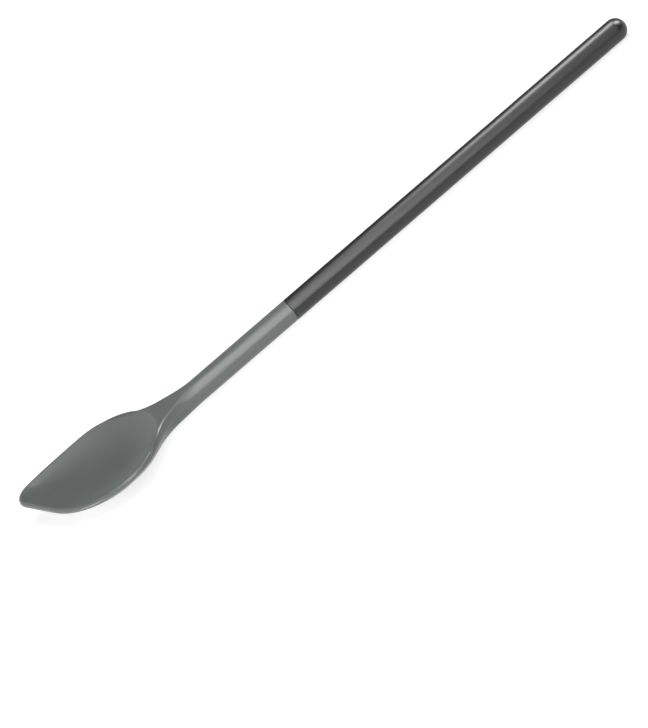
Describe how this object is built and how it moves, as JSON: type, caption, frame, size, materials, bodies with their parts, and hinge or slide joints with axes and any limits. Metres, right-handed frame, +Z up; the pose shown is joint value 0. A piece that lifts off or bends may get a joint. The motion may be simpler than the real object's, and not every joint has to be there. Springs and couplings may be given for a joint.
{
  "type": "cooking spoon",
  "caption": "Cooking spoon with a grey silicone head over a stiff nylon core: shallow bowl with one scraping corner, flat deck, round neck, and a slim round charcoal handle with a domed end.",
  "frame": {"origin": "bottom centre of the spoon's bounding box, on the surface that it lies on", "axes": "+X along the spoon towards the handle's domed end, +Z up out of the bowl, +Y towards the side with the scraping corner"},
  "size_m": [0.3172, 0.0468, 0.0129],
  "materials": {
    "silicone": "satin grey moulded silicone",
    "core_nylon": "matt black glass-filled nylon",
    "handle_nylon": "semi-gloss charcoal moulded nylon"
  },
  "bodies": {
    "root": {"silicone_head": "silicone", "nylon_core": "core_nylon", "handle": "handle_nylon"}
  },
  "joints": []
}
